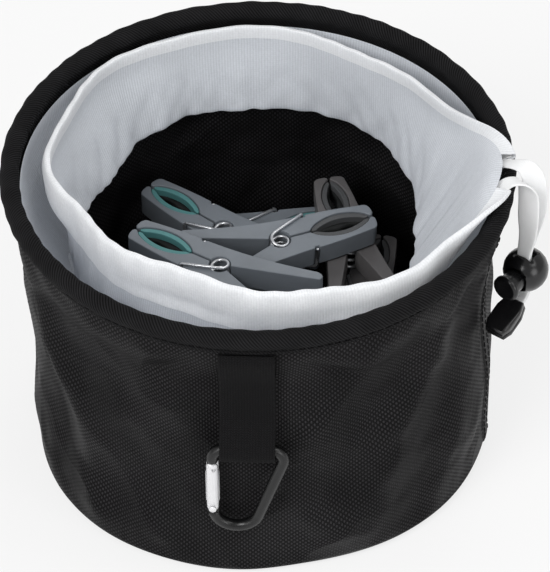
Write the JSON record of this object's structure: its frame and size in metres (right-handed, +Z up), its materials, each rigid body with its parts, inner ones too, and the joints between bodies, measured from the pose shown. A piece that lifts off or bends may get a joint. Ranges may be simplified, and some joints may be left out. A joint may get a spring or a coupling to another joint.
{
  "type": "peg basket",
  "caption": "Round soft peg bag with a hooped rim, white mesh drawstring collar, ball cord lock, webbing tab with a snap hook, and sprung clothes pegs inside.",
  "frame": {"origin": "middle of the bag's round base, on the floor", "axes": "+Z up through the mouth, -Y out of the wall at the webbing tab, +X towards the cord lock"},
  "size_m": [0.2015, 0.1898, 0.1325],
  "materials": {
    "bag_cloth": "matt coated weave",
    "binding_cloth": "ribbed twill tape",
    "white_mesh": "fine translucent mesh",
    "white_ribbon": "satin ribbon",
    "webbing": "woven webbing",
    "black_plastic": "moulded, half gloss",
    "black_enamel": "satin enamel",
    "bare_alloy": "brushed",
    "spring_steel": "drawn wire",
    "peg_plastic": "moulded, soft-grip jaws"
  },
  "bodies": {
    "basket": {"side_wall": "bag_cloth", "base_panel": "bag_cloth", "rim_hoop": "spring_steel", "rim_binding": "binding_cloth", "mesh_collar": "white_mesh", "drawstring_loop": "white_ribbon", "drawstring_front_run": "white_ribbon", "drawstring_back_run": "white_ribbon", "cord_end_front": "black_plastic", "cord_end_back": "black_plastic"},
    "tab": {"webbing_tab": "webbing"},
    "hook": {"hook_body": "black_enamel", "gate_rivet": "bare_alloy"},
    "gate": {"hook_gate": "bare_alloy", "gate_latch_pin": "bare_alloy", "gate_spring": "spring_steel"},
    "lock": {"lock_ball": "black_plastic", "lock_spring": "spring_steel"},
    "plunger": {"lock_plunger": "black_plastic"},
    "pegs": {"peg_1_body": "peg_plastic", "peg_1_spring": "spring_steel", "peg_2_body": "peg_plastic", "peg_2_spring": "spring_steel", "peg_3_body": "peg_plastic", "peg_3_spring": "spring_steel", "peg_4_body": "peg_plastic", "peg_4_spring": "spring_steel", "peg_5_body": "peg_plastic", "peg_5_spring": "spring_steel", "peg_6_body": "peg_plastic", "peg_6_spring": "spring_steel", "peg_7_body": "peg_plastic", "peg_7_spring": "spring_steel", "peg_8_body": "peg_plastic", "peg_8_spring": "spring_steel", "peg_9_body": "peg_plastic", "peg_9_spring": "spring_steel", "peg_10_body": "peg_plastic", "peg_10_spring": "spring_steel", "peg_11_body": "peg_plastic", "peg_11_spring": "spring_steel", "peg_12_body": "peg_plastic", "peg_12_spring": "spring_steel"},
    "peg_1_moving_half": {"peg_1_lever": "peg_plastic"},
    "peg_2_moving_half": {"peg_2_lever": "peg_plastic"},
    "peg_3_moving_half": {"peg_3_lever": "peg_plastic"},
    "peg_4_moving_half": {"peg_4_lever": "peg_plastic"},
    "peg_5_moving_half": {"peg_5_lever": "peg_plastic"},
    "peg_6_moving_half": {"peg_6_lever": "peg_plastic"},
    "peg_7_moving_half": {"peg_7_lever": "peg_plastic"},
    "peg_8_moving_half": {"peg_8_lever": "peg_plastic"},
    "peg_9_moving_half": {"peg_9_lever": "peg_plastic"},
    "peg_10_moving_half": {"peg_10_lever": "peg_plastic"},
    "peg_11_moving_half": {"peg_11_lever": "peg_plastic"},
    "peg_12_moving_half": {"peg_12_lever": "peg_plastic"}
  },
  "joints": [
    {"name": "tab_swing", "type": "hinge", "parent": "basket", "child": "tab", "pos_m": [0, -0.09195, 0.1157], "axis": [-1, 0, 0], "range_deg": [0, 60]},
    {"name": "hook_swing", "type": "hinge", "parent": "tab", "child": "hook", "pos_m": [0, -0.091, 0.0687], "axis": [-1, 0, 0], "range_deg": [0, 140]},
    {"name": "gate_open", "type": "hinge", "parent": "hook", "child": "gate", "pos_m": [-0.0128, -0.091, 0.0402], "axis": [0, 1, 0], "range_deg": [0, 35], "stiffness_Nm_per_rad": 0.02, "springref_deg": -17.19},
    {"name": "lock_slide", "type": "slide", "parent": "basket", "child": "lock", "axis": [0, 0, 1], "range_m": [0, 0.014], "deforming": ["drawstring_front_run", "drawstring_back_run"]},
    {"name": "plunger_press", "type": "slide", "parent": "lock", "child": "plunger", "axis": [0.5592, 0.829, 0], "range_m": [0, 0.0026], "stiffness_N_per_m": 600, "springref_m": -0.002, "deforming": ["lock_spring"]},
    {"name": "pegs_lift", "type": "slide", "parent": "basket", "child": "pegs", "axis": [0, 0, 1], "range_m": [0, 0.135]},
    {"name": "peg_1_squeeze", "type": "hinge", "parent": "pegs", "child": "peg_1_moving_half", "pos_m": [-0.016, 0.03, 0.0082], "axis": [0, 0, 1], "range_deg": [0, 20], "stiffness_Nm_per_rad": 0.05, "springref_deg": -11.46, "deforming": ["peg_1_spring"]},
    {"name": "peg_2_squeeze", "type": "hinge", "parent": "pegs", "child": "peg_2_moving_half", "pos_m": [0.014, -0.006, 0.0082], "axis": [0, 0, 1], "range_deg": [0, 20], "stiffness_Nm_per_rad": 0.05, "springref_deg": -11.46, "deforming": ["peg_2_spring"]},
    {"name": "peg_3_squeeze", "type": "hinge", "parent": "pegs", "child": "peg_3_moving_half", "pos_m": [-0.022, 0.012, 0.02], "axis": [0, 0, 1], "range_deg": [0, 20], "stiffness_Nm_per_rad": 0.05, "springref_deg": -11.46, "deforming": ["peg_3_spring"]},
    {"name": "peg_4_squeeze", "type": "hinge", "parent": "pegs", "child": "peg_4_moving_half", "pos_m": [0.018, 0.026, 0.02], "axis": [0, 0, 1], "range_deg": [0, 20], "stiffness_Nm_per_rad": 0.05, "springref_deg": -11.46, "deforming": ["peg_4_spring"]},
    {"name": "peg_5_squeeze", "type": "hinge", "parent": "pegs", "child": "peg_5_moving_half", "pos_m": [-0.02, 0.032, 0.0318], "axis": [0, 0, 1], "range_deg": [0, 20], "stiffness_Nm_per_rad": 0.05, "springref_deg": -11.46, "deforming": ["peg_5_spring"]},
    {"name": "peg_6_squeeze", "type": "hinge", "parent": "pegs", "child": "peg_6_moving_half", "pos_m": [0.016, 0, 0.0318], "axis": [0, 0, -1], "range_deg": [0, 20], "stiffness_Nm_per_rad": 0.05, "springref_deg": -11.46, "deforming": ["peg_6_spring"]},
    {"name": "peg_7_squeeze", "type": "hinge", "parent": "pegs", "child": "peg_7_moving_half", "pos_m": [-0.006, 0.048, 0.0436], "axis": [0, 0, 1], "range_deg": [0, 20], "stiffness_Nm_per_rad": 0.05, "springref_deg": -11.46, "deforming": ["peg_7_spring"]},
    {"name": "peg_8_squeeze", "type": "hinge", "parent": "pegs", "child": "peg_8_moving_half", "pos_m": [0.039, 0.009, 0.0436], "axis": [0, 0, -1], "range_deg": [0, 20], "stiffness_Nm_per_rad": 0.05, "springref_deg": -11.46, "deforming": ["peg_8_spring"]},
    {"name": "peg_9_squeeze", "type": "hinge", "parent": "pegs", "child": "peg_9_moving_half", "pos_m": [-0.0155, 0.0355, 0.0554], "axis": [0, 0, 1], "range_deg": [0, 20], "stiffness_Nm_per_rad": 0.05, "springref_deg": -11.46, "deforming": ["peg_9_spring"]},
    {"name": "peg_10_squeeze", "type": "hinge", "parent": "pegs", "child": "peg_10_moving_half", "pos_m": [0.033, 0.029, 0.0554], "axis": [0, 0, -1], "range_deg": [0, 20], "stiffness_Nm_per_rad": 0.05, "springref_deg": -11.46, "deforming": ["peg_10_spring"]},
    {"name": "peg_11_squeeze", "type": "hinge", "parent": "pegs", "child": "peg_11_moving_half", "pos_m": [0.007, 0.017, 0.06755], "axis": [0.0544, -0.1281, 0.9903], "range_deg": [0, 20], "stiffness_Nm_per_rad": 0.05, "springref_deg": -11.46, "deforming": ["peg_11_spring"]},
    {"name": "peg_12_squeeze", "type": "hinge", "parent": "pegs", "child": "peg_12_moving_half", "pos_m": [-0.014, -0.01, 0.07841], "axis": [0, 0, 1], "range_deg": [0, 20], "stiffness_Nm_per_rad": 0.05, "springref_deg": -11.46, "deforming": ["peg_12_spring"]}
  ]
}
